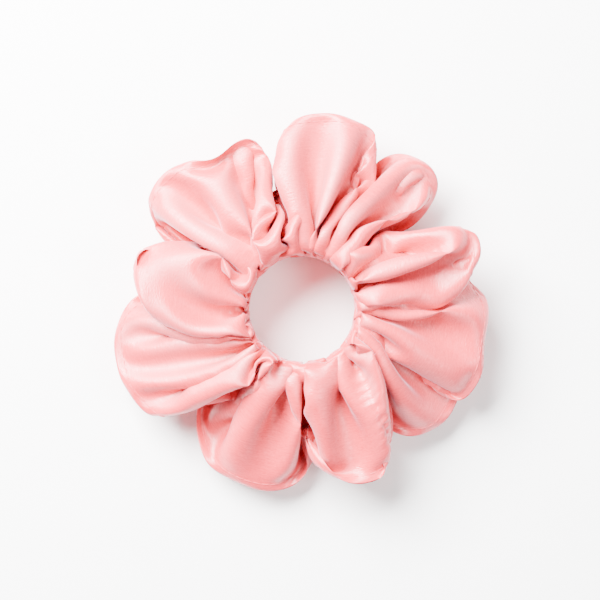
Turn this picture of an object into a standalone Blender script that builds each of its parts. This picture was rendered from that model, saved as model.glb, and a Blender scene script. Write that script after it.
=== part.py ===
"""A satin scrunchie lying flat: a gathered cloth tube over a stretched loop of flat elastic.

The loop stretches, so it is built as ten lobes of cloth that can slide apart at the gathers between them.
Each lobe holds its own length of cover, elastic and long-seam thread. The tube's closing seam lies between
the first lobe and the last, where the elastic's two ends overlap and are whipped together.

Metres, +Z up. The origin is on the surface that the scrunchie lies on, under the middle of its outer box.
"""

from collections import namedtuple
from math import cos, hypot, pi, radians, sin, tau

import bmesh
import bpy

MM = 0.001

# The loop. Everything is built round its centre and from its mid-height.
RING_X = 0.61 * MM
RING_Y = -2.47 * MM
RING_HEIGHT = 14.5 * MM
HOLE_RADIUS = 16.3 * MM
SEAM_ANGLE = -46.0  # degrees from +X, where the tube's two ends are joined

# The cloth tube.
CLOTH_WALL = 0.7 * MM  # cloth and its seam allowances
GATHER_HALF_HEIGHT = 10.0 * MM  # half the tube's height where the elastic draws it in
LYING_HALF_HEIGHT = 15.9 * MM  # below the mid-height a lobe is flattened by the surface it lies on
FULLNESS = 0.8  # power that squares up the tube's oval section
REACH_SWELL = 0.9  # how quickly a lobe swells from its gathers: lower is quicker
HEIGHT_SWELL = 0.6
PLEAT_DEPTH = 1.9 * MM  # how far a lobe's pleats stand above and below its own swell
PLEAT_SLANT = 1.4  # radians that a pleat's crest turns round the loop on its way out to the rim
FRILL_DEPTH = 1.5 * MM  # the same, in and out at the rim
SLOPE_STEP = 0.05  # share of a lobe either side of a point, over which its outer edge's slope is taken
LOOP_POINTS = 18
LOBE_STEPS = 12
GAP = 0.3 * MM

# The flat elastic and its sewn overlap.
ELASTIC_RADIUS = 20.0 * MM
ELASTIC_WIDTH = 6.0 * MM
ELASTIC_THICKNESS = 1.0 * MM
ELASTIC_STEPS = 6
OVERLAP_ANGLE = 17.0  # degrees that each end runs on past the closing seam
JOG_ANGLE = 8.0  # degrees over which the outer end steps out over the inner one
JOG_POINTS = 4

# The sewing thread.
THREAD_RADIUS = 0.25 * MM
SEAM_SETBACK = 1.0 * MM  # from the closing seam to the row of stitches beside it
LONG_SEAM_SETBACK = 2.2 * MM  # the long seam starts clear of the closing seam's stitches
WHIP_TURNS = 6
WHIP_ANGLE = 12.0  # degrees each side of the closing seam

# One gathered lobe: its share of the loop in degrees, how far it reaches from the loop's centre, its
# height above the mid-height, how far the gather at its far end reaches, and its number of pleats. Millimetres.
Lobe = namedtuple("Lobe", "span reach top gather pleats")
LOBES = [
    Lobe(26, 54.0, 13.0, 49.0, 1),
    Lobe(32, 54.0, 14.5, 47.0, 1),
    Lobe(26, 54.5, 16.0, 39.0, 1),
    Lobe(28, 57.5, 14.5, 44.0, 1),
    Lobe(37, 56.0, 15.0, 38.0, 2),
    Lobe(47, 57.0, 14.5, 44.0, 2),
    Lobe(34, 53.0, 16.0, 47.0, 1),
    Lobe(36, 58.0, 14.0, 43.0, 1),
    Lobe(51, 55.0, 13.5, 43.0, 3),
    Lobe(43, 54.5, 14.5, 43.0, 2),
]

SATIN = ("satin", (0.90, 0.50, 0.49, 1.0), 0.35)
ELASTIC = ("elastic", (0.93, 0.88, 0.86, 1.0), 0.8)
THREAD = ("thread", (0.88, 0.47, 0.46, 1.0), 0.6)


def clear_scene():
    for old in list(bpy.data.objects):
        bpy.data.objects.remove(old)


def material(kind):
    """The Principled BSDF of one kind of stuff, made once and shared."""
    name, colour, roughness = kind
    made = bpy.data.materials.get(name)
    if made is None:
        made = bpy.data.materials.new(name)
        made.use_nodes = True
        shader = made.node_tree.nodes["Principled BSDF"]
        shader.inputs["Base Color"].default_value = colour
        shader.inputs["Roughness"].default_value = roughness
        shader.inputs["Metallic"].default_value = 0.0
    return made


def place(obj, frame, kind):
    """Puts a finished object in its lobe's frame, with its material."""
    obj.data.materials.append(material(kind))
    obj.parent = frame
    bpy.context.scene.collection.objects.link(obj)
    return obj


def at(angle, radius, height, shift=0.0):
    """A point in a lobe's frame: degrees round the loop, then out from its centre and up from mid-height.
    shift moves it along the loop, square to the radius, so that two ends can face each other across a gap."""
    turn = radians(angle)
    return (radius * cos(turn) - shift * sin(turn), radius * sin(turn) + shift * cos(turn), height)


def signed_power(value, power):
    return (abs(value) ** power) * (1 if value >= 0 else -1)


def lobe_section(number, share, inset):
    """A loop round the cloth tube, as (radius, height) pairs, at a share from 0 to 1 of the way along a lobe.
    inset draws it in from the tube's outer face."""
    lobe = LOBES[number]
    near, far = LOBES[number - 1].gather * MM, lobe.gather * MM
    gather = near + (far - near) * share
    swell = sin(pi * share)
    reach = gather + (lobe.reach * MM - gather) * swell**REACH_SWELL
    top = GATHER_HALF_HEIGHT + (lobe.top * MM - GATHER_HALF_HEIGHT) * swell**HEIGHT_SWELL
    bottom = GATHER_HALF_HEIGHT + (LYING_HALF_HEIGHT - GATHER_HALF_HEIGHT) * min(1.0, 1.5 * swell)
    half = (reach - HOLE_RADIUS) / 2
    loop = []
    for i in range(LOOP_POINTS):
        across = signed_power(cos(tau * i / LOOP_POINTS), FULLNESS)
        up = signed_power(sin(tau * i / LOOP_POINTS), FULLNESS)
        pleat = PLEAT_DEPTH * swell * sin(tau * lobe.pleats * share + PLEAT_SLANT * across)
        frill = FRILL_DEPTH * swell * max(across, 0.0) * sin(tau * lobe.pleats * share + PLEAT_SLANT * up)
        radius = HOLE_RADIUS + half + (half - inset) * across + frill
        height = up * ((top if up > 0 else bottom) + pleat - inset)
        loop.append((radius, max(height, inset - RING_HEIGHT)))
    return loop


def end_shift(step, steps):
    """Half a gap back from a lobe's ends, and nothing between them."""
    return GAP / 2 if step == 0 else -GAP / 2 if step == steps else 0.0


def add_tube(mesh, rings):
    """Skins a row of rings of points with quads, and returns the rings as vertices."""
    rings = [[mesh.verts.new(point) for point in ring] for ring in rings]
    for near, far in zip(rings, rings[1:]):
        for i in range(len(near)):
            j = (i + 1) % len(near)
            mesh.faces.new((near[i], near[j], far[j], far[i]))
    return rings


def solid(name, mesh, frame, kind, smooth_angle=40.0):
    """Turns a closed bmesh into a placed object with its faces pointing out."""
    bmesh.ops.recalc_face_normals(mesh, faces=mesh.faces)
    data = bpy.data.meshes.new(name)
    mesh.to_mesh(data)
    mesh.free()
    data.shade_smooth()
    data.set_sharp_from_angle(angle=radians(smooth_angle))
    return place(bpy.data.objects.new(name, data), frame, kind)


def cover_lobe(number, frame):
    """One lobe of the cloth tube, open at both ends: its outer face, thickened inwards to the cloth's wall."""
    span = LOBES[number].span
    mesh = bmesh.new()
    rings = []
    for step in range(LOBE_STEPS + 1):
        share = step / LOBE_STEPS
        shift = end_shift(step, LOBE_STEPS)
        rings.append([at(span * share, r, z, shift) for r, z in lobe_section(number, share, 0.0)])
    add_tube(mesh, rings)
    wall = solid(f"cover_lobe_{number + 1:02d}", mesh, frame, SATIN).modifiers.new("wall", "SOLIDIFY")
    wall.thickness = CLOTH_WALL
    wall.offset = -1.0
    wall.use_even_offset = True


def elastic_course(number):
    """The run of one length of elastic, as (degrees, radius of its middle, shift) along its lobe."""
    span = LOBES[number].span
    start, end = 0.0, span
    if number == 0:
        start = -OVERLAP_ANGLE
    if number == len(LOBES) - 1:
        end = span - OVERLAP_ANGLE - JOG_ANGLE
    course = []
    for step in range(ELASTIC_STEPS + 1):
        angle = start + (end - start) * step / ELASTIC_STEPS
        cut_end = (step == 0 and number > 0) or (step == ELASTIC_STEPS and number < len(LOBES) - 1)
        course.append((angle, ELASTIC_RADIUS, end_shift(step, ELASTIC_STEPS) if cut_end else 0.0))
    if number == len(LOBES) - 1:
        course += overlapping_end(span)
    return course


def overlapping_end(span):
    """The last length's end: it steps out, then lies on the outside of the first length's end."""
    step_out = ELASTIC_THICKNESS + GAP
    course = []
    for step in range(1, JOG_POINTS + 1):
        share = step / JOG_POINTS
        rise = share * share * (3 - 2 * share)
        angle = span - OVERLAP_ANGLE - JOG_ANGLE + JOG_ANGLE * share * 0.9
        course.append((angle, ELASTIC_RADIUS + step_out * rise, 0.0))
    for step in range(ELASTIC_STEPS + 1):
        angle = span - OVERLAP_ANGLE + 2 * OVERLAP_ANGLE * step / ELASTIC_STEPS
        course.append((angle, ELASTIC_RADIUS + step_out, 0.0))
    return course


def elastic_length(number, frame):
    """One length of the flat elastic: its oblong section carried along its course."""
    half_thick, half_wide = ELASTIC_THICKNESS / 2, ELASTIC_WIDTH / 2
    corners = ((-half_thick, -half_wide), (half_thick, -half_wide), (half_thick, half_wide), (-half_thick, half_wide))
    mesh = bmesh.new()
    course = elastic_course(number)
    rings = add_tube(mesh, [[at(a, r + dr, dz, shift) for dr, dz in corners] for a, r, shift in course])
    mesh.faces.new(rings[0])
    mesh.faces.new(reversed(rings[-1]))
    solid(f"elastic_{number + 1:02d}", mesh, frame, ELASTIC, smooth_angle=30.0)


def thread(name, points, frame, closed=False):
    """A round thread through a list of points."""
    curve = bpy.data.curves.new(name, "CURVE")
    curve.dimensions = "3D"
    curve.bevel_depth = THREAD_RADIUS
    curve.bevel_resolution = 1
    curve.use_fill_caps = not closed
    line = curve.splines.new("POLY")
    line.points.add(len(points) - 1)
    line.use_cyclic_u = closed
    for spot, point in zip(line.points, points):
        spot.co = (*point, 1.0)
    return place(bpy.data.objects.new(name, curve), frame, THREAD)


def outer_edge(number, share):
    """How far the cover reaches from the loop's centre, at a share of the way along a lobe."""
    return lobe_section(number, min(max(share, 0.0), 1.0), 0.0)[0][0]


def edge_steepness(number, share):
    """The outer edge's length per length run round the loop: 1 where it runs square to the radius."""
    near, far = max(share - SLOPE_STEP, 0.0), min(share + SLOPE_STEP, 1.0)
    rise = outer_edge(number, far) - outer_edge(number, near)
    run = outer_edge(number, share) * radians(LOBES[number].span) * (far - near)
    return hypot(rise, run) / run


def long_seam_thread(number, frame):
    """The thread of the tube's long seam, which runs inside the cover along its outer edge."""
    inset = CLOTH_WALL + 2 * GAP + THREAD_RADIUS
    span = LOBES[number].span
    points = []
    for step in range(LOBE_STEPS + 1):
        share = step / LOBE_STEPS
        radius = outer_edge(number, share) - inset * edge_steepness(number, share)
        shift = end_shift(step, LOBE_STEPS)
        if step == 0 and number == 0:
            shift = LONG_SEAM_SETBACK
        points.append(at(span * share, radius, 0.0, shift))
    thread(f"long_seam_thread_{number + 1:02d}", points, frame)


def closing_seam_thread(frame):
    """The row of stitches that closes the tube, as a loop inside the mouth of the first lobe."""
    inset = CLOTH_WALL + GAP + THREAD_RADIUS
    loop = [at(0.0, r, z, SEAM_SETBACK) for r, z in lobe_section(0, 0.0, inset)]
    thread("closing_seam_thread", loop, frame, closed=True)


def elastic_join_thread(frame):
    """Whip stitches that bind the elastic's two overlapping ends: a thread wound round both of them."""
    clear = GAP + THREAD_RADIUS
    inner = ELASTIC_RADIUS - ELASTIC_THICKNESS / 2 - clear
    outer = ELASTIC_RADIUS + 1.5 * ELASTIC_THICKNESS + GAP + clear
    edge = ELASTIC_WIDTH / 2 + clear
    corners = ((inner, -edge), (inner, edge), (outer, edge), (outer, -edge))
    count = WHIP_TURNS * len(corners)
    points = []
    for i in range(count + 1):
        angle = -WHIP_ANGLE + 2 * WHIP_ANGLE * i / count
        radius, height = corners[i % len(corners)]
        points.append(at(angle, radius, height))
    thread("elastic_join_thread", points, frame)


def lobe_frame(number, start):
    """An empty at the loop's centre, turned to where the lobe starts. The lobe slides with it."""
    frame = bpy.data.objects.new(f"lobe_{number + 1:02d}", None)
    frame.location = (RING_X, RING_Y, RING_HEIGHT)
    frame.rotation_euler = (0.0, 0.0, radians(start))
    bpy.context.scene.collection.objects.link(frame)
    return frame


def build():
    clear_scene()
    start = SEAM_ANGLE
    for number, lobe in enumerate(LOBES):
        frame = lobe_frame(number, start)
        cover_lobe(number, frame)
        elastic_length(number, frame)
        long_seam_thread(number, frame)
        if number == 0:
            closing_seam_thread(frame)
            elastic_join_thread(frame)
        start += lobe.span


build()
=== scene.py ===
"""The look of the satin scrunchie: one gathered tube of cloth, grown on a grid until it folds like the real one.

The cloth is a grid that closes on itself both ways: columns run round the loop, rows round the tube. It starts
as a flattened tube whose outer edge follows a listed path, then each thread of cloth lengthens to its real
length while the folds keep clear of each other, of the elastic and of the floor.
"""

from collections import namedtuple
from math import pi, tau

import bpy
import numpy as np
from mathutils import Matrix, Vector


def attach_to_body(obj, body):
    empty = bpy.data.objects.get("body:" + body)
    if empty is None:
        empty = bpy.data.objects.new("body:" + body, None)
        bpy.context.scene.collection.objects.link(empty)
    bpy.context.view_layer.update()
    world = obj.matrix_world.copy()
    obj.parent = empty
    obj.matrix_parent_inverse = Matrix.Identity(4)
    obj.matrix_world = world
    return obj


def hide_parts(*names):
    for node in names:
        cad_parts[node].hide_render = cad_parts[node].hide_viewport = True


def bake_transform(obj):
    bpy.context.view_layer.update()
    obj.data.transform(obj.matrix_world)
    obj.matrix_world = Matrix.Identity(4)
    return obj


MM = 0.001
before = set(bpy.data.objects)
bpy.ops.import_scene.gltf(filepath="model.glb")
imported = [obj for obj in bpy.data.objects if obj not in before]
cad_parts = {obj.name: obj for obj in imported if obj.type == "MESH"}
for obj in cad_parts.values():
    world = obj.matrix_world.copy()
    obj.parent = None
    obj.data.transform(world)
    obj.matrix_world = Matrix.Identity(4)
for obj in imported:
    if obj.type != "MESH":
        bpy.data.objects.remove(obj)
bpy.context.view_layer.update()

# The loop, as in the solids.
RING = np.array([0.61, -2.47, 0.0]) * MM
RING_HEIGHT = 14.5 * MM
ELASTIC_RADIUS = 20.0 * MM

# The cloth as cut, before it was sewn into a tube and gathered.
CLOTH_LENGTH = 0.700
CLOTH_WIDTH = 0.090
SEAM_SETBACK = 2.5 * MM  # from the tube's outer edge to its long seam
CLOSING_SETBACK = 18.0 * MM  # from the last fold's end back to the seam that closes the tube

# The tube's folds, anticlockwise from the closing seam. Each notch is where the outer edge comes in between two
# lobes, with the angle at which the cloth there crosses the elastic. The rim is the outer edge's way from that
# notch to the next: one lobe's rim runs on under or over its neighbour's. Millimetres from the loop's centre,
# and up from the floor.
Fold = namedtuple("Fold", "notch crossing rim")
FOLDS = [
    Fold((20, -27, 10), -20, [(23, -33, 5), (32, -36, 8), (40, -35, 9), (46, -29, 7)]),
    Fold(
        (39, -19, 8),
        -14,
        [(46, -24.5, 13), (53, -24, 14), (52, -12, 16), (54, -2, 16), (51, 7, 10), (45, 10, 6)],
    ),
    Fold((36, 5, 10), 7, [(42, 3.5, 17), (46, 8, 21), (52, 21, 23), (42, 21.5, 23), (32, 19, 20)]),
    Fold((22, 19, 11), 50, [(30, 26.5, 8), (36, 32, 12), (40, 42.5, 14), (31, 44.5, 13), (23, 41, 8)]),
    Fold(
        (15, 33, 10),
        72,
        [(18, 40, 17), (21, 50, 19), (14.5, 57.5, 20), (3, 57, 20), (-5, 50, 19), (-5, 43, 17), (-2, 36, 14)],
    ),
    Fold((0, 27, 9), 97, [(-3, 32, 8), (-7, 34.5, 11), (-11.5, 31, 12)]),
    Fold(
        (-13, 24, 9),
        120,
        [(-12, 34, 12), (-11, 43, 16), (-16, 49.5, 17), (-26, 42.5, 18), (-39, 40.5, 17), (-46.5, 34, 14),
         (-41, 25, 9)],
    ),
    Fold((-32, 15, 10), 142, [(-39, 17, 18), (-46.5, 17, 21), (-49.5, 12, 21), (-46, 4, 21), (-42, -2, 19)]),
    Fold(
        (-36, -3, 11),
        203,
        [(-44, 4, 6), (-52.5, 0, 8), (-59, -12, 10), (-55, -21.5, 11), (-48, -27.5, 12), (-41, -29.5, 14),
         (-32, -25.5, 15)],
    ),
    Fold(
        (-25, -20, 10),
        234,
        [(-29, -27, 6), (-29.5, -37, 7), (-27, -45.5, 8), (-19, -51, 9), (-10, -54, 9), (-3, -51, 8), (2, -45, 6)],
    ),
    Fold(
        (2, -35, 10),
        270,
        [(2.5, -41, 15), (7, -45.5, 17), (12, -49.5, 17), (18, -52.5, 17), (24.5, -46, 17), (23.5, -38, 16),
         (20, -31, 14)],
    ),
]

# The folds that each lobe of the solids stands for, from the first lobe to the tenth.
LOBE_FOLDS = [(0,), (1,), (2,), (3,), (4,), (5, 6), (7,), (8,), (9,), (10,)]

# Creases that press the cloth down: from one point to another, the height of the bottom and half the width
# of that bottom. Millimetres from the loop's centre, and up from the floor.
CREASES = [
    (-2, 25, -0.5, 34, 9, 0.3),
    (-13, 25, -17, 36, 12, 0.3),
    (-25, 20, -27, 28, 10, 1.0),
    (-27, 28, -21, 40, 13, 0.5),
    (-24, 15.5, -34, 18, 9, 0.3),
    (-25, -6.5, -36, -4, 10, 0.3),
    (-27, -11, -44, -16, 10, 1.5),
    (-18, -20, -28, -24, 8, 0.3),
    (-18, -23, -24, -29, 11, 0.5),
    (-12, -24, -26, -39, 13, 0.3),
    (-3, -26, -7, -43, 9, 0.5),
    (10, -25, 10, -32, 10, 0.3),
    (10, -32, 18, -38, 10, 0.5),
    (26, -13, 43, -22, 10, 0.6),
    (28, -16, 38, -28, 12, 0.3),
    (26, 2.5, 34, 2.5, 9, 0.3),
    (24, 10.5, 30, 10.5, 8, 2.2),
    (13, 22, 22, 23, 10, 0.3),
    (27, 27.5, 35, 36, 10, 0.6),
    (11, 29, 16, 39, 8, 0.8),
    (0, 36, 8, 49, 17, 0.5),
]
CREASE_SLOPE = 1.2
ELASTIC_COVER = 9.0 * MM  # above the loop's mid-height, where no crease reaches down to the elastic

# The grid, and how it grows.
COLUMNS, ROWS = 192, 36
GROW_STEPS, SETTLE_STEPS, PASSES = 260, 60, 6
LAYER_GAP, FINE_LAYER_GAP = 2.3 * MM, 1.25 * MM
FLOOR_GAP = 0.4 * MM
CEILING = 30.0 * MM
HOLE_RADIUS = 15.8 * MM
NOISE = 1.5 * MM

# The satin's two tones, seen as a fine grain.
SATIN_DEEP = (0.52, 0.020, 0.032, 1)
SATIN_PALE = (0.72, 0.055, 0.072, 1)

# The closing seam draws the cloth in along its line and puckers it to either side.
GROOVE_DEPTH = 1.0 * MM
GROOVE_HALF_WIDTH = 1.1 * MM
PUCKER_DEPTH = 0.22 * MM
PUCKER_REACH = 2.4 * MM
PUCKER_LENGTH = 2.8 * MM

# Sewing thread.
THREAD_RADIUS = 0.11 * MM
THREAD_SIDES = 6
STITCH = 2.6 * MM
STITCH_STEPS = 8
CREASE_SEED = 6.0 * MM
SEED = 19


def smooth(x):
    return x * x * (3 - 2 * x)


def next_in(grid, axis, step=1):
    return np.roll(grid, -step, axis)


def length(vectors):
    return np.sqrt((vectors * vectors).sum(-1)) + 1e-12


# ---- the path of the outer edge ----


def rounded_path(points, per_point=24):
    """A closed Catmull-Rom curve through the points."""
    before, here, after, later = points, np.roll(points, -1, 0), np.roll(points, -2, 0), np.roll(points, -3, 0)
    t = (np.arange(per_point) / per_point)[None, :, None]
    before, here, after, later = (p[:, None, :] for p in (before, here, after, later))
    curve = 0.5 * (
        2 * here
        + (after - before) * t
        + (2 * before - 5 * here + 4 * after - later) * t**2
        + (3 * here - before - 3 * after + later) * t**3
    )
    return np.roll(curve.reshape(-1, 3), per_point, 0)


def path_of_folds():
    """The outer edge as a closed curve, how far along it each point and each notch lies, and its whole length."""
    points, notch_points = [], []
    for fold in FOLDS:
        notch_points.append(len(points))
        points.append(fold.notch)
        points.extend(fold.rim)
    per_point = 24
    curve = rounded_path(np.array(points, float) * MM, per_point)
    run = np.concatenate([[0], np.cumsum(length(next_in(curve, 0) - curve))])
    return curve, run, run[np.array(notch_points) * per_point]


def outer_edge(columns):
    """Where each column's outer edge goes, evenly spaced along the path, about the loop's centre."""
    curve, run, _ = path_of_folds()
    closed = np.concatenate([curve, curve[:1]])
    stops = np.arange(columns) / columns * run[-1]
    return np.stack([np.interp(stops, run, closed[:, i]) for i in range(3)], -1)


def gathered_angles(columns):
    """The angle at which each column crosses the elastic, evened out a little along the loop."""
    _, run, notches = path_of_folds()
    crossings = np.radians([fold.crossing for fold in FOLDS])
    shares = np.append(notches, run[-1]) / run[-1]
    even = np.arange(columns) / columns
    angles = np.interp(even, shares, np.append(crossings, crossings[0] + tau))
    window = int(columns * 0.05) | 1
    weights = np.hanning(window + 2)[1:-1]
    drift = angles - even * tau
    drift = np.concatenate([drift[-window:], drift, drift[:window]])
    return even * tau + np.convolve(drift, weights / weights.sum(), "same")[window:-window]


# ---- the cloth ----


def flattened_tube(columns, rows, rng):
    """The tube before it grows. Row 0 is its outer edge, and the row half-way round lies at the hole."""
    edge = outer_edge(columns)
    inner_angles = gathered_angles(columns)[:, None]
    angles = np.arctan2(edge[:, 1], edge[:, 0])[:, None]
    angles = inner_angles + (angles - inner_angles + pi) % tau - pi
    turn = tau * np.arange(rows) / rows
    out = ((np.cos(turn) + 1) / 2)[None, :]
    radius = np.hypot(edge[:, 0], edge[:, 1])[:, None]
    radius = 17.5 * MM + (radius - 17.5 * MM) * out
    height = RING_HEIGHT - 1.0 * MM + (edge[:, 2:3] - RING_HEIGHT + 1.0 * MM) * out**1.3 + np.sin(turn) * 5.0 * MM
    angle = inner_angles + (angles - inner_angles) * out**1.5
    cloth = np.stack([radius * np.cos(angle), radius * np.sin(angle), height], -1)
    cloth += rng.normal(0, 0.2 * NOISE, cloth.shape)
    cloth += doubled(doubled(rng.normal(0, NOISE, (columns // 4, rows // 4, 3))))
    cloth[..., 2] -= CREASE_SEED * np.clip((22.0 * MM - crease_limit(cloth)) / (10.0 * MM), 0, 1) * (np.sin(turn) > 0.1)
    cloth[..., 2] = np.maximum(cloth[..., 2], FLOOR_GAP)
    return cloth


def doubled(grid):
    """The same cloth on a grid twice as fine both ways."""
    for axis in (0, 1):
        between = (9 * (grid + next_in(grid, axis)) - next_in(grid, axis, -1) - next_in(grid, axis, 2)) / 16
        shape = list(grid.shape)
        shape[axis] *= 2
        grid = np.stack([grid, between], axis + 1).reshape(shape)
    return grid


def normals(cloth):
    across = np.cross(next_in(cloth, 0) - next_in(cloth, 0, -1), next_in(cloth, 1) - next_in(cloth, 1, -1))
    return across / length(across)[..., None]


def outward(cloth):
    """The normals, turned to point out of the tube."""
    facing = normals(cloth)
    inside_out = (facing * (cloth - cloth.mean(1, keepdims=True))).sum() < 0
    return -facing if inside_out else facing


def neighbours(points, reach, columns, rows, apart=2):
    """Pairs of points within reach of each other that aren't near each other in the cloth, by sorting into cells."""
    cell = np.floor((points - points.min(0)) / reach).astype(np.int64) + 1
    wide, tall = cell[:, 1].max() + 3, cell[:, 2].max() + 3
    key = (cell[:, 0] * wide + cell[:, 1]) * tall + cell[:, 2]
    order = np.argsort(key, kind="stable")
    ranked = key[order]
    everyone = np.arange(len(points))
    firsts, seconds = [], []
    for dx, dy in ((0, 0), (0, 1), (1, -1), (1, 0), (1, 1)):
        sought = key + (dx * wide + dy) * tall
        start = np.searchsorted(ranked, sought - 1, side="left")
        count = np.searchsorted(ranked, sought + 1, side="right") - start
        first = np.repeat(everyone, count)
        shift = np.repeat(start - np.cumsum(count) + count, count)
        second = order[np.arange(len(first)) + shift]
        if dx == 0 and dy == 0:
            first, second = first[first < second], second[first < second]
        firsts.append(first)
        seconds.append(second)
    first, second = np.concatenate(firsts), np.concatenate(seconds)
    near = length(points[first] - points[second]) < reach
    first, second = first[near], second[near]
    along = np.abs(first // rows - second // rows)
    around = np.abs(first % rows - second % rows)
    far = (np.minimum(along, columns - along) > apart) | (np.minimum(around, rows - around) > apart)
    return first[far], second[far]


def keep_apart(points, first, second, gap):
    """Moves each pair of points that is closer than the gap straight apart."""
    between = points[first] - points[second]
    distance = length(between)
    close = distance < gap
    first, second = first[close], second[close]
    move = between[close] * ((gap - distance[close]) / distance[close] / 2)[:, None]
    total = len(points)
    share = np.sqrt(np.maximum(np.bincount(first, minlength=total) + np.bincount(second, minlength=total), 1))
    for axis in range(3):
        push = np.bincount(first, move[:, axis], total) - np.bincount(second, move[:, axis], total)
        points[:, axis] += push / share


def pull(near, far, rest, strength=1.0):
    """How far each near point moves, and each far point the other way, towards their rest distance."""
    between = far - near
    distance = length(between)
    return between * ((distance - rest) / distance * strength / 2)[..., None]


def hold_lengths(cloth, rest, axis):
    """Brings each thread along an axis to its length, first the even pairs and then the odd ones."""
    if axis == 1:
        cloth, rest = cloth.transpose(1, 0, 2), rest.T
    even, odd = cloth[0::2], cloth[1::2]
    move = pull(even, odd, rest[0::2])
    even += move
    odd -= move
    move = pull(odd, next_in(even, 0), rest[1::2])
    odd += move
    even -= np.roll(move, 1, 0)


def resist_shear(cloth, rest, strength):
    for side in (1, -1):
        across = np.roll(next_in(cloth, 0), -side, 1)
        move = pull(cloth, across, rest, strength)
        cloth += move
        cloth -= np.roll(np.roll(move, 1, 0), side, 1)


def resist_bending(cloth, strength):
    for axis in (0, 1):
        curl = strength / 2 * ((next_in(cloth, axis) + next_in(cloth, axis, -1)) / 2 - cloth)
        cloth += curl
        cloth -= (next_in(curl, axis) + next_in(curl, axis, -1)) / 2


def keep_off_elastic(cloth, turn):
    """Keeps the flat elastic inside the tube: the upper rows above it, the lower ones below, the inner ones in."""
    half_thick, half_wide = 3.2 * MM, 5.5 * MM
    radius = np.hypot(cloth[..., 0], cloth[..., 1])
    across, up = radius - ELASTIC_RADIUS, cloth[..., 2] - RING_HEIGHT
    side = np.where(np.sin(turn) >= 0, 1, -1)[None, :]
    clear = half_wide * np.sqrt(np.clip(1 - (across / half_thick) ** 2, 0, 1))
    near = np.abs(across) < half_thick
    lifted = RING_HEIGHT + side * np.maximum(side * up, clear)
    cloth[..., 2] = np.where(near, 0.5 * (cloth[..., 2] + lifted), cloth[..., 2])
    inner = (np.cos(turn) < -0.8)[None, :]
    limit = ELASTIC_RADIUS - half_thick
    scale = np.where(inner & (radius > limit), 0.5 * (1 + limit / radius), 1)
    cloth[..., 0] *= scale
    cloth[..., 1] *= scale


def gather(cloth, angles, turn):
    """The elastic draws the tube's inner half in round itself and holds each column at its own angle."""
    radius = np.hypot(cloth[..., 0], cloth[..., 1])
    angle = np.arctan2(cloth[..., 1], cloth[..., 0])
    inner = np.clip(-np.cos(turn), 0, 1)[None, :]
    angle += ((angles[:, None] - angle + pi) % tau - pi) * inner**2 * 0.05
    drawn = np.clip(0.25 - np.cos(turn), 0, 1)[None, :] ** 1.5 * 0.02
    radius += (26.5 * MM - 8.5 * MM * inner - radius) * drawn
    cloth[..., 2] += (RING_HEIGHT + 11.0 * MM * np.sin(turn)[None, :] - cloth[..., 2]) * drawn * 0.6
    cloth[..., 0] = radius * np.cos(angle)
    cloth[..., 1] = radius * np.sin(angle)


def crease_limit(cloth):
    """How high the creases let each point of the cloth rise."""
    place = cloth[..., :2]
    limit = np.full(cloth.shape[:2], 1.0)
    for x0, y0, x1, y1, bottom, half_width in CREASES:
        start, run = np.array([x0, y0]) * MM, np.array([x1 - x0, y1 - y0]) * MM
        share = np.clip(((place - start) @ run) / (run @ run), 0, 1)
        away = length(place - start - share[..., None] * run) - half_width * MM
        limit = np.minimum(limit, bottom * MM + CREASE_SLOPE * np.maximum(away, 0))
    over_elastic = RING_HEIGHT + ELASTIC_COVER - 0.8 * np.abs(length(place) - ELASTIC_RADIUS)
    return np.maximum(limit, over_elastic)


def press_creases(cloth, strength):
    """Presses down whatever rises above the creases' sides."""
    if strength > 0:
        cloth[..., 2] -= np.maximum(cloth[..., 2] - crease_limit(cloth), 0) * strength


def stay_in_outline(cloth, reach):
    """No row of a column reaches out past where its outer edge belongs."""
    radius = np.hypot(cloth[..., 0], cloth[..., 1])
    scale = 1 - np.maximum(radius - reach[:, None], 0) / radius * 0.8
    cloth[..., 0] *= scale
    cloth[..., 1] *= scale


def stay_in_bounds(cloth):
    """The hole stays open, the floor holds the cloth up, and nothing rises far above the lobes."""
    radius = np.hypot(cloth[..., 0], cloth[..., 1])
    scale = np.where(radius < HOLE_RADIUS, (1 + HOLE_RADIUS / np.maximum(radius, 1e-6)) / 2, 1)
    cloth[..., 0] *= scale
    cloth[..., 1] *= scale
    height = np.maximum(cloth[..., 2], FLOOR_GAP)
    cloth[..., 2] = np.where(height > CEILING, (CEILING + height) / 2, height)


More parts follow.
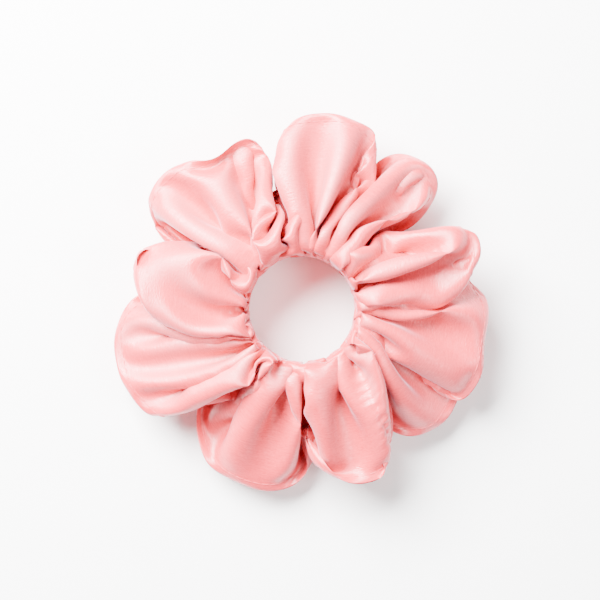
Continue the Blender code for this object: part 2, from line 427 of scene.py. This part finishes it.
def settle(cloth, steps, gap, growing, edge_hold, crease_hold, pressure, stiffness, damping):
    """Lets the cloth find its folds. While growing, its threads lengthen smoothly from what they are to the cut."""
    columns, rows = cloth.shape[:2]
    full_u = np.full((columns, rows), CLOTH_LENGTH / columns)
    full_v = np.full((columns, rows), CLOTH_WIDTH / rows)
    first_u = length(next_in(cloth, 0) - cloth)
    first_v = length(next_in(cloth, 1) - cloth)
    edge = outer_edge(columns)
    angles = gathered_angles(columns)
    turn = tau * np.arange(rows) / rows
    reach = np.hypot(edge[:, 0], edge[:, 1]) + 0.3 * MM
    hold = edge_hold * np.clip(np.cos(turn), 0, 1)[None, :, None] ** 4
    seam_row = max(1, round(SEAM_SETBACK / (CLOTH_WIDTH / rows)))
    before = cloth.copy()
    for step in range(steps):
        grown = smooth(min(1.0, (step + 1) / (0.8 * steps))) if growing else 1.0
        rest_u = first_u + (full_u - first_u) * grown
        rest_v = first_v + (full_v - first_v) * grown
        rest_across = np.hypot(rest_u, rest_v)
        moving = (cloth - before) * damping
        before = cloth.copy()
        cloth += moving
        cloth[..., 2] -= 2e-6
        cloth += outward(cloth) * pressure
        cloth += (edge[:, None, :] - cloth) * hold
        gather(cloth, angles, turn)
        press_creases(cloth, crease_hold * grown)
        stay_in_outline(cloth, reach)
        if step % 3 == 0:
            first, second = neighbours(cloth.reshape(-1, 3), gap * 1.35, columns, rows)
        for again in range(PASSES):
            hold_lengths(cloth, rest_u, 0)
            hold_lengths(cloth, rest_v, 1)
            resist_shear(cloth, rest_across, 0.15)
            resist_bending(cloth, stiffness)
            pinch = pull(cloth[:, seam_row], cloth[:, -seam_row], 0.9 * MM, 0.6)
            cloth[:, seam_row] += pinch
            cloth[:, -seam_row] -= pinch
            if again % 2 == 1:
                keep_apart(cloth.reshape(-1, 3), first, second, gap)
        keep_off_elastic(cloth, turn)
        stay_in_bounds(cloth)
    return cloth


def closing_column(columns):
    return columns - round(CLOSING_SETBACK / (CLOTH_LENGTH / columns))


def sew_closing_seam(cloth, facing):
    """Draws the cloth in along the closing seam and puckers it on either side."""
    columns, rows = cloth.shape[:2]
    away = np.abs(np.arange(columns) - closing_column(columns)) * (CLOTH_LENGTH / columns)
    groove = GROOVE_DEPTH * np.exp(-((away / GROOVE_HALF_WIDTH) ** 2))
    along = np.arange(rows) * (CLOTH_WIDTH / rows)
    ripple = np.sin(tau * along / PUCKER_LENGTH + 1.5 * np.sin(tau * along / (4.3 * PUCKER_LENGTH)))
    pucker = PUCKER_DEPTH * np.exp(-away / PUCKER_REACH)[:, None] * ripple[None, :]
    return cloth + facing * (pucker - groove[:, None])[..., None]


def gathered_tube():
    """The finished cloth, as a grid of points in the row frame."""
    rng = np.random.default_rng(SEED)
    cloth = flattened_tube(COLUMNS, ROWS, rng)
    cloth = settle(cloth, GROW_STEPS, LAYER_GAP, True, 0.35, 0.1, 1e-6, 0.04, 0.9)
    cloth = doubled(cloth)
    cloth = settle(cloth, SETTLE_STEPS, FINE_LAYER_GAP, False, 0.02, 0.0, 1e-6, 0.25, 0.85)
    cloth = doubled(cloth)
    cloth = sew_closing_seam(cloth, outward(cloth))
    cloth[..., 2] -= cloth[..., 2].min()
    return cloth + RING


# ---- cutting it into pieces that follow the lobes ----


def cut_columns(columns):
    """The column half-way along each lobe's rim. Pieces run from one to the next, and the last crosses the seam."""
    _, run, notches = path_of_folds()
    starts = [notches[folds[0]] for folds in LOBE_FOLDS]
    ends = starts[1:] + [run[-1]]
    return [round((start + end) / 2 / run[-1] * columns) for start, end in zip(starts, ends)]


def linked(name, mesh):
    piece = bpy.data.objects.new(name, mesh)
    bpy.context.scene.collection.objects.link(piece)
    return piece


def sheet_of(name, cloth, facing, first, last):
    """A mesh of the columns from first to last of the whole grid, with its weave coordinates and true normals."""
    columns, rows = cloth.shape[:2]
    picked = np.arange(first, last + 1) % columns
    points = cloth[picked].reshape(-1, 3)
    count = len(picked)
    index = np.arange(count * rows).reshape(count, rows)
    near, far = index[:-1], index[1:]
    faces = np.stack([near, far, np.roll(far, -1, 1), np.roll(near, -1, 1)], -1).reshape(-1, 4)
    mesh = bpy.data.meshes.new(name)
    mesh.from_pydata(points.tolist(), [], faces.tolist())
    layer = mesh.uv_layers.new(name="weave")
    along = np.repeat(np.arange(first, last + 1) * (CLOTH_LENGTH / columns), rows).reshape(count, rows)
    around = np.tile(np.arange(rows) * (CLOTH_WIDTH / rows), (count, 1))
    uv = np.empty((count - 1, rows, 4, 2))
    uv[..., 0, 0], uv[..., 0, 1] = along[:-1], around[:-1]
    uv[..., 1, 0], uv[..., 1, 1] = along[1:], around[1:]
    uv[..., 2, 0], uv[..., 2, 1] = along[1:], around[1:] + CLOTH_WIDTH / rows
    uv[..., 3, 0], uv[..., 3, 1] = along[:-1], around[:-1] + CLOTH_WIDTH / rows
    layer.data.foreach_set("uv", uv.reshape(-1).astype(np.float32))
    mesh.shade_smooth()
    mesh.normals_split_custom_set_from_vertices(facing[picked].reshape(-1, 3).tolist())
    return linked(name, mesh)


def stitches(name, line, facing):
    """Lockstitches along a line on the cloth: a thread that lies on it and dips through it at each stitch's end.

    Returns the piece and how far along the line each of its points is, from 0 to 1.
    """
    run = np.concatenate([[0], np.cumsum(length(line[1:] - line[:-1]))])
    count = max(1, round(run[-1] / STITCH))
    stops = np.linspace(0, run[-1], count * STITCH_STEPS + 1)
    along = np.stack([np.interp(stops, run, line[:, i]) for i in range(3)], -1)
    up = np.stack([np.interp(stops, run, facing[:, i]) for i in range(3)], -1)
    up /= length(up)[:, None]
    dip = np.abs(np.cos(pi * np.arange(len(stops)) / STITCH_STEPS)) ** 6
    centre = along + up * (THREAD_RADIUS * (0.6 - 1.8 * dip))[:, None]
    ahead = np.gradient(centre, axis=0)
    side = np.cross(ahead, up)
    side /= length(side)[:, None]
    turn = tau * np.arange(THREAD_SIDES) / THREAD_SIDES
    ring = side[:, None] * np.cos(turn)[None, :, None] + up[:, None] * np.sin(turn)[None, :, None]
    points = (centre[:, None] + ring * THREAD_RADIUS).reshape(-1, 3)
    index = np.arange(len(points)).reshape(-1, THREAD_SIDES)
    near, far = index[:-1], index[1:]
    faces = np.stack([near, np.roll(near, -1, 1), np.roll(far, -1, 1), far], -1).reshape(-1, 4).tolist()
    faces += [index[0, ::-1].tolist(), index[-1].tolist()]
    mesh = bpy.data.meshes.new(name)
    mesh.from_pydata(points.tolist(), [], faces)
    mesh.shade_smooth()
    return linked(name, mesh), np.repeat(np.linspace(0, 1, len(stops)), THREAD_SIDES)


def follow(piece):
    """Keeps the piece where it lies, with its placement baked into its mesh; it is tied to no lobe."""
    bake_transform(piece)


# ---- materials ----


def new_material(name):
    made = bpy.data.materials.new(name)
    made.use_nodes = True
    tree = made.node_tree
    return made, tree, tree.nodes["Principled BSDF"]


def node(tree, kind, **settings):
    made = tree.nodes.new(kind)
    for name, value in settings.items():
        setattr(made, name, value)
    return made


def ramp(tree, low, dark, high, light):
    made = node(tree, "ShaderNodeValToRGB")
    made.color_ramp.elements[0].position = low
    made.color_ramp.elements[0].color = dark
    made.color_ramp.elements[1].position = high
    made.color_ramp.elements[1].color = light
    return made


def weave_noise(tree, uv, scale):
    """Noise laid out in the cloth's own metres, stretched along its threads."""
    stretch = node(tree, "ShaderNodeMapping")
    stretch.inputs["Scale"].default_value = scale
    noise = node(tree, "ShaderNodeTexNoise")
    noise.inputs["Scale"].default_value = 1.0
    noise.inputs["Detail"].default_value = 2.0
    tree.links.new(uv.outputs["UV"], stretch.inputs["Vector"])
    tree.links.new(stretch.outputs["Vector"], noise.inputs["Vector"])
    return noise


def satin():
    """Pale pink satin: its weft floats make a grain that breaks the highlights into fine glints."""
    made, tree, shader = new_material("satin")
    uv = node(tree, "ShaderNodeUVMap", uv_map="weave")
    grain = weave_noise(tree, uv, (1100.0, 2600.0, 1.0))
    slub = weave_noise(tree, uv, (260.0, 2600.0, 1.0))
    both = node(tree, "ShaderNodeMix")
    tint = ramp(tree, 0.3, SATIN_DEEP, 0.7, SATIN_PALE)
    gloss = node(tree, "ShaderNodeMapRange")
    gloss.inputs["From Min"].default_value = 0.3
    gloss.inputs["From Max"].default_value = 0.7
    gloss.inputs["To Min"].default_value = 0.58
    gloss.inputs["To Max"].default_value = 0.34
    bump = node(tree, "ShaderNodeBump")
    bump.inputs["Strength"].default_value = 0.9
    bump.inputs["Distance"].default_value = 0.0001
    tangent = node(tree, "ShaderNodeTangent", direction_type="UV_MAP", uv_map="weave")
    link = tree.links.new
    link(grain.outputs["Fac"], both.inputs["A"])
    link(slub.outputs["Fac"], both.inputs["B"])
    link(both.outputs["Result"], tint.inputs["Fac"])
    link(tint.outputs["Color"], shader.inputs["Base Color"])
    link(both.outputs["Result"], gloss.inputs["Value"])
    link(gloss.outputs["Result"], shader.inputs["Roughness"])
    link(grain.outputs["Fac"], bump.inputs["Height"])
    link(bump.outputs["Normal"], shader.inputs["Normal"])
    link(tangent.outputs["Tangent"], shader.inputs["Tangent"])
    shader.inputs["Anisotropic"].default_value = 0.85
    shader.inputs["Specular IOR Level"].default_value = 1.0
    shader.inputs["Sheen Weight"].default_value = 0.3
    shader.inputs["Sheen Roughness"].default_value = 0.35
    shader.inputs["Sheen Tint"].default_value = (0.94, 0.80, 1.0, 1)
    return made


def sewing_thread():
    """Twisted polyester thread, dyed to match the satin."""
    made, tree, shader = new_material("thread")
    place = node(tree, "ShaderNodeTexCoord")
    twist = node(tree, "ShaderNodeTexWave")
    twist.inputs["Scale"].default_value = 900.0
    twist.inputs["Distortion"].default_value = 2.0
    tint = node(tree, "ShaderNodeValToRGB")
    tint.color_ramp.elements[0].color = (0.55, 0.05, 0.065, 1)
    tint.color_ramp.elements[1].color = (0.74, 0.10, 0.12, 1)
    bump = node(tree, "ShaderNodeBump")
    bump.inputs["Strength"].default_value = 0.4
    bump.inputs["Distance"].default_value = 0.00005
    link = tree.links.new
    link(place.outputs["Object"], twist.inputs["Vector"])
    link(twist.outputs["Fac"], tint.inputs["Fac"])
    link(tint.outputs["Color"], shader.inputs["Base Color"])
    link(twist.outputs["Fac"], bump.inputs["Height"])
    link(bump.outputs["Normal"], shader.inputs["Normal"])
    shader.inputs["Roughness"].default_value = 0.5
    return made


def woven_elastic():
    """Flat white elastic: fine ribs across its width, with a matt yarn."""
    made, tree, shader = new_material("elastic")
    place = node(tree, "ShaderNodeTexCoord")
    ribs = node(tree, "ShaderNodeTexWave", bands_direction="Z")
    ribs.inputs["Scale"].default_value = 320.0
    ribs.inputs["Distortion"].default_value = 0.6
    ribs.inputs["Detail"].default_value = 2.0
    tint = node(tree, "ShaderNodeValToRGB")
    tint.color_ramp.elements[0].color = (0.70, 0.62, 0.60, 1)
    tint.color_ramp.elements[1].color = (0.88, 0.84, 0.82, 1)
    bump = node(tree, "ShaderNodeBump")
    bump.inputs["Strength"].default_value = 0.5
    bump.inputs["Distance"].default_value = 0.0002
    link = tree.links.new
    link(place.outputs["Object"], ribs.inputs["Vector"])
    link(ribs.outputs["Fac"], tint.inputs["Fac"])
    link(tint.outputs["Color"], shader.inputs["Base Color"])
    link(ribs.outputs["Fac"], bump.inputs["Height"])
    link(bump.outputs["Normal"], shader.inputs["Normal"])
    shader.inputs["Roughness"].default_value = 0.8
    return made


def speckled(name, dark, light, roughness, scale):
    """A matt stuff whose colour varies finely between two tones."""
    made, tree, shader = new_material(name)
    place = node(tree, "ShaderNodeTexCoord")
    grain = node(tree, "ShaderNodeTexNoise")
    grain.inputs["Scale"].default_value = scale
    grain.inputs["Detail"].default_value = 3.0
    tint = node(tree, "ShaderNodeValToRGB")
    tint.color_ramp.elements[0].color = dark
    tint.color_ramp.elements[1].color = light
    tree.links.new(place.outputs["Object"], grain.inputs["Vector"])
    tree.links.new(grain.outputs["Fac"], tint.inputs["Fac"])
    tree.links.new(tint.outputs["Color"], shader.inputs["Base Color"])
    shader.inputs["Roughness"].default_value = roughness
    return made


# ---- the stage ----


def area_light(name, place, size, power):
    light = bpy.data.lights.new(name, "AREA")
    light.energy = power
    light.size = size
    lamp = bpy.data.objects.new(name, light)
    lamp.location = place
    lamp.rotation_euler = (-Vector(place)).to_track_quat("-Z", "Y").to_euler()
    bpy.context.scene.collection.objects.link(lamp)


def build_stage():
    mesh = bpy.data.meshes.new("floor")
    side = 3.0
    mesh.from_pydata([(-side, -side, 0), (side, -side, 0), (side, side, 0), (-side, side, 0)], [], [(0, 1, 2, 3)])
    floor = bpy.data.objects.new("floor", mesh)
    bpy.context.scene.collection.objects.link(floor)
    mesh.materials.append(speckled("floor", (0.90, 0.90, 0.90, 1), (0.92, 0.92, 0.92, 1), 0.9, 40.0))
    world = bpy.data.worlds.new("world")
    world.use_nodes = True
    world.node_tree.nodes["Background"].inputs["Color"].default_value = (1, 1, 1, 1)
    world.node_tree.nodes["Background"].inputs["Strength"].default_value = 0.5
    bpy.context.scene.world = world
    area_light("key", (-0.28, 0.33, 0.44), 0.42, 60.0)
    area_light("fill", (0.35, -0.1, 0.45), 0.2, 4.0)


VIEW_WIDTH = 0.174
VIEW_DISTANCE = 0.55
AIM = Vector((0.0, 0.1, 15.0)) * MM


def build_camera():
    lens = bpy.data.cameras.new("camera")
    lens.sensor_width = 36.0
    lens.lens = lens.sensor_width * VIEW_DISTANCE / VIEW_WIDTH
    camera = bpy.data.objects.new("camera", lens)
    camera.location = AIM + Vector((0, 0, VIEW_DISTANCE))
    bpy.context.scene.collection.objects.link(camera)
    bpy.context.scene.camera = camera


def attach(piece, number):
    """Pieces one to nine keep their place, baked into their meshes, and the tenth is tied to the first lobe."""
    if number < 10:
        follow(piece)
    else:
        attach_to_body(piece, "lobe_01")


def build_cover(cloth, facing, cuts):
    """The satin in ten pieces, each from the middle of one lobe's rim to the middle of the next."""
    finish = satin()
    for number, (first, last) in enumerate(cuts, 1):
        piece = sheet_of(f"cloth_{number:02d}", cloth, facing, first, last)
        piece.data.materials.append(finish)
        attach(piece, number)
        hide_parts(f"cover_lobe_{number:02d}")


def build_stitches(cloth, facing, cuts):
    """The long seam along its row of the grid, and the closing seam round the tube at its column."""
    columns, rows = cloth.shape[:2]
    finish = sewing_thread()
    seam_row = round(SEAM_SETBACK / (CLOTH_WIDTH / rows))
    for number, (first, last) in enumerate(cuts, 1):
        picked = np.arange(first, last + 1) % columns
        piece, shares = stitches(f"long_seam_{number:02d}", cloth[picked, seam_row], facing[picked, seam_row])
        piece.data.materials.append(finish)
        attach(piece, number)
        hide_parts(f"long_seam_thread_{number:02d}")
    around = np.arange(rows + 1) % rows
    column = closing_column(columns)
    piece, _ = stitches("closing_seam", cloth[column, around], facing[column, around])
    piece.data.materials.append(finish)
    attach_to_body(piece, "lobe_01")
    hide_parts("closing_seam_thread")


def refinish_solids():
    """The elastic and its whipping keep their solids' shapes and get their own stuffs."""
    band, whipping = woven_elastic(), sewing_thread()
    for name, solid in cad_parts.items():
        if name.startswith("elastic_"):
            for slot in solid.material_slots:
                slot.material = whipping if "thread" in name else band


def main():
    build_stage()
    build_camera()
    cloth = gathered_tube()
    facing = outward(cloth)
    starts = cut_columns(cloth.shape[0])
    cuts = list(zip(starts, starts[1:] + [starts[0] + cloth.shape[0]]))
    build_cover(cloth, facing, cuts)
    build_stitches(cloth, facing, cuts)
    refinish_solids()


main()
